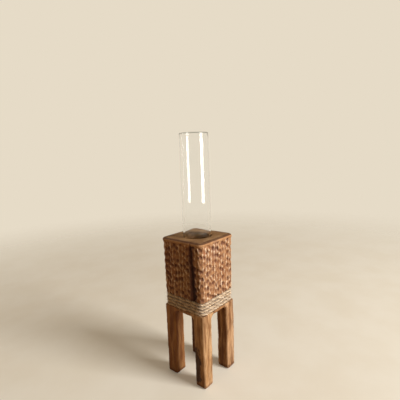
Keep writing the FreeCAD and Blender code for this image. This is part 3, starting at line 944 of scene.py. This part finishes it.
def winding_path():
    points = []
    around = level_run()
    for turn in range(TWINE_TURNS):
        height = lowest_turn + turn * turn_rise
        points += [Vector((*point, height)) for point in around]
        if turn < TWINE_TURNS - 1:
            for share in shares(round(2 * CLIMB_HALF / PATH_STEP))[:-1]:
                risen = share * share * (3 - 2 * share)
                points.append(Vector((CLIMB_HALF * (1 - 2 * share), turn_half,
                                      height + risen * turn_rise)))
    return points


path = winding_path()
twine_length = sum((b - a).length for a, b in zip(path, path[1:]))
winding = new_piece("jute_winding", path, [], [(i, i + 1) for i in range(len(path) - 1)])
print("the winding takes", round(twine_length / MM), "mm of twine")


# %% The twine-laying tree
RUN_STEP = 0.7 * MM
SWAY_LENGTH = 10 * MM
UNEVEN_LENGTH = 11 * MM
YARNS = 3
YARN_SIDES = 9
YARN_SHARE = 1 / 2.05
YARN_SHIFT = 0.37
THINNEST, THICKER_BY = 0.86, 0.32
THICK_LENGTH = 4 * MM
PATCH_SIZE = 5 * MM
FIBRE_TURN = 1.6 * MM
STRAY = 0.7
MOST_LIFT, LEAST_LIFT = 0.75, -0.05
FIBRE_BOW = 0.18
SHORTEST_FIBRE = 0.3


def twine_tree():
    sheet, given = geometry_sheet("twine laying", {
        "Twine radius": 1.54 * MM, "Lay length": 8.5 * MM, "Uneven lay": 7.0, "Sway": 1.0 * MM,
        "Fibres a square metre": 420000, "Fibre length": 5.0 * MM,
        "Fibre radius": 0.035 * MM, "Seed": 5})
    yarn_radius = given["Twine radius"] * YARN_SHARE
    yarn_offset = given["Twine radius"] - yarn_radius

    curve = sheet.node("GeometryNodeMeshToCurve", inputs={0: given["Geometry"]})
    curve = sheet.node("GeometryNodeResampleCurve", {"mode": "LENGTH"},
                       {"Curve": curve, "Length": RUN_STEP})
    curve = sheet.node("GeometryNodeSetCurveNormal", {"mode": "Z_UP"}, {"Curve": curve})
    place = sheet.node("GeometryNodeInputPosition")
    length = sheet.node("GeometryNodeSplineParameter", output="Length")
    loose = sheet.bumps(sheet.joined(length, 0, 0), SWAY_LENGTH, 1.0, "Color")
    loose = sheet.vector("SUBTRACT", loose, (0.5, 0.5, 0.5))
    curve = sheet.moved(curve, sheet.scaled(loose, given["Sway"] * 2))

    run = sheet.node("GeometryNodeInputTangent")
    normal = sheet.node("GeometryNodeInputNormal")
    side = sheet.vector("CROSS_PRODUCT", run, normal)
    section = sheet.node("GeometryNodeCurvePrimitiveCircle",
                         inputs={"Resolution": YARN_SIDES, "Radius": yarn_radius})
    section = sheet.keep(section, "ring", place, "FLOAT_VECTOR")
    uneven = sheet.noise(sheet.joined(length / UNEVEN_LENGTH, 3, 0), 1.0) * given["Uneven lay"]
    yarns = []
    for yarn in range(YARNS):
        angle = length * (2 * math.pi) / given["Lay length"] + uneven
        angle = angle + 2 * math.pi * yarn / YARNS
        offset = sheet.vector("ADD",
                              sheet.scaled(normal, sheet.math("COSINE", angle) * yarn_offset),
                              sheet.scaled(side, sheet.math("SINE", angle) * yarn_offset))
        line = sheet.keep(curve, "along", length + yarn * YARN_SHIFT)
        line = sheet.moved(line, offset)
        thick = sheet.noise(sheet.joined(length / THICK_LENGTH, yarn * 5.0, 0))
        thick = THINNEST + THICKER_BY * thick
        line = sheet.keep(line, "run", run, "FLOAT_VECTOR")
        line = sheet.keep(line, "paler", (yarn - 1.0) * 0.5 + thick - 1.0)
        line = sheet.node("GeometryNodeSetCurveRadius", inputs={"Curve": line, "Radius": thick})
        yarns.append(sheet.node("GeometryNodeCurveToMesh", inputs={
            "Curve": line, "Profile Curve": section, "Fill Caps": True}))

    ring, along = sheet.attribute("ring", "FLOAT_VECTOR"), sheet.attribute("along")
    turned = sheet.node("ShaderNodeVectorRotate", {"rotation_type": "Z_AXIS"},
                        {"Vector": ring, "Angle": along / FIBRE_TURN})
    lay = sheet.vector("ADD", turned, sheet.joined(0, 0, along))
    twine = sheet.keep(sheet.gathered(yarns), "lay", lay, "FLOAT_VECTOR")
    # Where the surface faces up or down, as in the gaps between turns, the finish paints shade.
    slope = abs(sheet.part(sheet.node("GeometryNodeInputNormal"), "Z"))
    patchy = sheet.smooth(sheet.bumps(place, PATCH_SIZE), 0.3, 0.6)
    hollow = sheet.smooth(slope, 0.35, 0.95) * (0.35 + 0.65 * patchy)
    twine = sheet.keep(twine, "hollow", hollow)

    points = sheet.node("GeometryNodeDistributePointsOnFaces", (), {
        "Mesh": twine, "Density": given["Fibres a square metre"],
        "Seed": sheet.node("FunctionNodeFloatToInt", inputs={0: given["Seed"]})})
    facing = Wire(sheet, points.socket.node.outputs["Normal"])
    stray = sheet.node("FunctionNodeRandomValue", {"data_type": "FLOAT_VECTOR"},
                       {"Min": (-STRAY,) * 3, "Max": (STRAY,) * 3, "Seed": 3})
    lift = sheet.node("FunctionNodeRandomValue", {"data_type": "FLOAT"}, {"Seed": 4}, 1)
    towards = sheet.vector("ADD", sheet.attribute("run", "FLOAT_VECTOR"), stray)
    lift = lift * (MOST_LIFT - LEAST_LIFT) + LEAST_LIFT
    towards = sheet.vector("ADD", towards, sheet.scaled(facing, lift))
    turn = sheet.node("FunctionNodeAlignRotationToVector", {"axis": "X"}, {"Vector": towards})
    bow = sheet.node("GeometryNodeCurveQuadraticBezier", inputs={
        "Resolution": 4, "Start": (0, 0, 0),
        "Middle": sheet.joined(given["Fibre length"] * 0.5, 0, given["Fibre length"] * FIBRE_BOW),
        "End": sheet.joined(given["Fibre length"], 0, 0)})
    hair = sheet.node("GeometryNodeCurvePrimitiveCircle", inputs={
        "Resolution": 3, "Radius": given["Fibre radius"]})
    fibre = sheet.node("GeometryNodeCurveToMesh", inputs={"Curve": bow, "Profile Curve": hair})
    grown = sheet.node("FunctionNodeRandomValue", {"data_type": "FLOAT"},
                       {2: SHORTEST_FIBRE, 3: 1.0, "Seed": 9}, 1)
    fibres = sheet.node("GeometryNodeInstanceOnPoints", inputs={
        "Points": points, "Instance": fibre, "Rotation": turn, "Scale": grown})
    return end_sheet(sheet, given, sheet.gathered((twine, fibres)))


twine_laying = twine_tree()
print("twine laying has", len(twine_laying.nodes), "nodes")

# %% [markdown]
# Jute is a straw-grey fibre with browner strands mixed in, and it has no shine to
# speak of. The tree stored a coordinate that turns with the yarn, so that the streaks
# follow the twist instead of running straight through it. Where the surface faces up
# or down, as in the gaps between the turns, the finish paints shade.

# %% The twine's finish
STRAND_BUMPS = (5200, 5200, 160)
BROAD_BUMPS = (900, 900, 70)


def jute_finish():
    finish, sheet, shader = new_finish("jute_finish", Specular_IOR_Level=0.2,
                                       Sheen_Weight=0.25, Sheen_Roughness=0.6)
    lay = surface_value(sheet, "lay", "Vector")
    strands, broad = (sheet.noise(sheet.vector("MULTIPLY", lay, bumps))
                      for bumps in (STRAND_BUMPS, BROAD_BUMPS))
    paler, hollow = surface_value(sheet, "paler"), surface_value(sheet, "hollow")
    colour = painted(sheet, tone(204, 176, 138), (
        (sheet.smooth(broad, 0.35, 0.65), tone(238, 215, 180)),
        (sheet.smooth(strands, 0.45, 0.75) * 0.6, tone(134, 104, 74)),
        (sheet.smooth(strands, 0.5, 0.2) * 0.5, tone(246, 232, 208)),
        (sheet.smooth(paler, -0.1, -0.6) * 0.45, tone(150, 124, 98)),
        (sheet.smooth(paler, 0.1, 0.6) * 0.5, tone(250, 236, 212)),
        # Painted shade in the gaps between the turns.
        (hollow * 0.8, tone(116, 94, 86)),
    ))
    feed(sheet, shader, colour, 0.82 + 0.1 * strands, strands, 0.14 * MM)
    return finish


run_tree(winding, twine_laying, jute_finish())

# %% [markdown]
# ## The glass tube
#
# A laboratory tube is drawn glass with a round bottom and a rim melted smooth in a
# flame. Glass shows every facet, so instead of the CAD solid a finer one is turned
# from its outline: outside up, over the rim, and down the inside, one closed wall.

# %% Turn the tube
TUBE_RADIUS = tube_high.x
TUBE_WALL = 1.5 * MM
TUBE_SEGMENTS = 144
BOWL_STEPS = 24
WALL_STEPS = 16
RIM_STEPS = 10


def tube_outline():
    """(radius, height) from the bottom up the outside and back down the inside."""
    inner = TUBE_RADIUS - TUBE_WALL
    bend = tube_low.z + TUBE_RADIUS
    rim = tube_high.z - TUBE_WALL / 2
    rim_radius = TUBE_WALL / 2

    def bowl(radius):
        return [(radius * math.sin(angle), bend - radius * math.cos(angle))
                for angle in (math.pi / 2 * share for share in shares(BOWL_STEPS))]

    def straight(radius, low, high):
        return [(radius, low + (high - low) * share) for share in shares(WALL_STEPS)[:-1]]

    outside = bowl(TUBE_RADIUS) + straight(TUBE_RADIUS, bend, rim)
    over = [(inner + rim_radius - rim_radius * math.cos(math.pi - angle),
             rim + rim_radius * math.sin(angle))
            for angle in (math.pi * share for share in [0.0] + shares(RIM_STEPS))]
    inside = straight(inner, rim, bend) + bowl(inner)[::-1]
    return outside + over + inside


def turned(name, outline, segments):
    """A solid of revolution about Z, closed to a point at both ends."""
    ring = [Vector((math.cos(a), math.sin(a))) for a in
            (2 * math.pi * step / segments for step in range(segments))]
    levels = [([direction * radius for direction in ring], height)
              for radius, height in outline]
    return new_piece(name, *stack(levels))


tube = turned("glass_tube", tube_outline(), TUBE_SEGMENTS)
tube.data.shade_smooth()
print("the tube's wall has", len(tube.data.polygons), "faces")

# %% [markdown]
# Clear glass has next to no colour of its own: what is seen is whatever stands behind
# it, bent by the wall, and the lamp mirrored in it. So the finish is transmission with
# a trace of grey, a faint haze in the lower half, and a grey band of painted shade on
# the rounded rim. It has no bump, because drawn glass is as smooth as its maker can
# get it.

# %% The glass finish
GLASS_BENDS = 1.47
HAZE_BUMPS = (60, 60, 25)
HAZE_FADES = (150 * MM, 250 * MM)
RIM_SHADE_FROM, RIM_SHADE_TO = 1.3 * MM, 0.7 * MM


def glass_finish():
    finish, sheet, shader = new_finish("clear_glass_finish", Transmission_Weight=1.0,
                                       IOR=GLASS_BENDS, Specular_IOR_Level=0.5)
    haze = object_noise(sheet, HAZE_BUMPS, 3.0)
    height = sheet.part(object_place(sheet, (1, 1, 1)), "Z")
    lower = 1 - sheet.smooth(height, *HAZE_FADES)
    rim_shade = sheet.smooth(height, tube_high.z - RIM_SHADE_FROM, tube_high.z - RIM_SHADE_TO)
    colour = painted(sheet, tone(253, 253, 253), (
        (sheet.smooth(haze, 0.4, 0.8) * 0.4, tone(246, 248, 247)),
        # A grey band of painted shade on the rounded rim.
        (rim_shade * 0.6, tone(150, 158, 152)),
    ))
    feed(sheet, shader, colour, 0.01 + sheet.smooth(haze, 0.55, 0.8) * lower * 0.03)
    return finish


tube.data.materials.append(glass_finish())
print("glass bends light by", GLASS_BENDS)

# %% [markdown]
# ## The dowels
#
# Two dowels pin the block to the neck. Nothing of them shows while the vase is whole,
# so the CAD rods stay as they are, with a pale straight-grained wood on them.

# %% Finish the dowels
def dowel_finish():
    finish, sheet, shader = new_finish("dowel_finish", Specular_IOR_Level=0.3)
    bands, fibres, pores = grain_of(sheet, (0.09, 0.02, 0.0))
    colour = painted(sheet, tone(214, 184, 140), (
        (bands, tone(196, 160, 114)),
        (fibres * 0.3 + pores * 0.3, tone(160, 120, 78)),
    ))
    feed(sheet, shader, colour, 0.6 + 0.15 * fibres, fibres, 0.06 * MM)
    return finish


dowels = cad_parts["joint_dowels"]
dowels.data.materials.clear()
dowels.data.materials.append(dowel_finish())
print("dowels carry", dowels.data.materials[0].name)

# %% [markdown]
# ## Floor and light
#
# The vase stood in soft daylight from the right, with the left sides in warm shade.
# One large lamp stands in for the window and a dim warm world for the rest of the
# room. The floor is a pale plain sheet that fades into the same pale colour behind.
# Floor and world each have two colours: a pale one for the rays that are seen, and a
# warmer one for the rays that only carry light, because a real room is not all pale.

# %% The floor
PALE = tone(230, 219, 199)
FLOOR_HALF = 4.0
FADE_START = 0.25
FADE_END = 1.1
NEAR_SHOW = 0.14
CLOUD_BUMPS = (14, 14, 14)
FLOOR_TONES = (tone(243, 236, 220), tone(248, 243, 230))
FLOOR_BOUNCE = tone(160, 120, 70)


def shown(sheet):
    """1 for rays that are seen, straight, mirrored or through glass, and 0 for light."""
    ray = sheet.node("ShaderNodeLightPath").socket.node
    seen = Wire(sheet, ray.outputs["Is Camera Ray"])
    for name in ("Is Glossy Ray", "Is Transmission Ray"):
        seen = sheet.largest(seen, Wire(sheet, ray.outputs[name]))
    return seen


def make_floor():
    corners = [(x * FLOOR_HALF, y * FLOOR_HALF, 0)
               for x, y in ((-1, -1), (1, -1), (1, 1), (-1, 1))]
    floor = new_piece("floor", corners, [(0, 1, 2, 3)])
    finish, sheet, shader = new_finish("floor_finish", Roughness=0.9, Specular_IOR_Level=0.1)
    place = sheet.node("ShaderNodeTexCoord", output="Object")
    cloudy = object_noise(sheet, CLOUD_BUMPS, 4.0)
    pale = sheet.mix(sheet.smooth(cloudy, 0.3, 0.7), *FLOOR_TONES)
    seen = shown(sheet)
    sheet.plug(shader.inputs["Base Color"], sheet.mix(seen, FLOOR_BOUNCE, pale))
    clear = sheet.node("ShaderNodeBsdfTransparent")
    faded = sheet.smooth(sheet.length(place), FADE_START, FADE_END)
    faded = NEAR_SHOW + (1 - NEAR_SHOW) * faded
    faded = sheet.node("ShaderNodeMixShader", inputs={
        0: faded * seen, 1: Wire(sheet, shader.outputs[0]), 2: clear})
    sheet.plug(sheet.node_end.inputs["Surface"], faded)
    floor.data.materials.append(finish)
    return floor


floor = make_floor()
print("the floor is", 2 * FLOOR_HALF, "m wide")


# %% The world and the lamp
ROOM_LIGHT = tone(255, 226, 188)
ROOM_STRENGTH = 0.265
WINDOW_HEADING = math.radians(-77)
WINDOW_AWAY = 1.3
WINDOW_SIZE = (0.55, 1.9)
WINDOW_WATTS = 38.0
WINDOW_COLOUR = (1.0, 0.98, 0.95)


def make_world():
    world = bpy.data.worlds.new("room")
    world.use_nodes = True
    world.node_tree.nodes.clear()
    sheet = Sheet(world.node_tree)
    light = sheet.node("ShaderNodeBackground", inputs={"Color": ROOM_LIGHT,
                                                       "Strength": ROOM_STRENGTH})
    show = sheet.node("ShaderNodeBackground", inputs={"Color": PALE, "Strength": 1.0})
    both = sheet.node("ShaderNodeMixShader", inputs={0: shown(sheet), 1: light, 2: show})
    end = sheet.tree.nodes.new("ShaderNodeOutputWorld")
    sheet.plug(end.inputs["Surface"], both)
    bpy.context.scene.world = world


def make_window():
    """A tall lamp that stands on the floor and faces the vase."""
    data = bpy.data.lights.new("window", "AREA")
    data.shape = "RECTANGLE"
    data.size, data.size_y = WINDOW_SIZE
    data.energy = WINDOW_WATTS
    data.color = WINDOW_COLOUR
    lamp = linked("window", data)
    towards = Vector((math.cos(WINDOW_HEADING), math.sin(WINDOW_HEADING), 0))
    lamp.location = towards * WINDOW_AWAY + Vector((0, 0, data.size_y / 2))
    lamp.rotation_euler = towards.to_track_quat("Z", "Y").to_euler()
    return lamp


make_world()
window = make_window()
print("the window lamp is at", [round(value, 2) for value in window.location])

# %% [markdown]
# ## Hand over
#
# Each piece rides on the body that carries it, and the CAD node that it stands for is
# hidden. The wooden parts and the twine belong to the stand, and only the tube lifts out.

# %% Ride and replace
def belongs(piece, body, slot, *nodes):
    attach(piece, body)
    if nodes:
        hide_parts(*nodes)


belongs(block, "stand", "carved_wood", "chiselled_block")
for node, piece in stand_pieces.items():
    belongs(piece, "stand", "stand_wood", node)
belongs(winding, "stand", "jute_twine", "twine_wrap")
belongs(tube, "tube", "clear_glass", "test_tube")
print(len(stand_pieces) + 3, "pieces stand for CAD nodes")
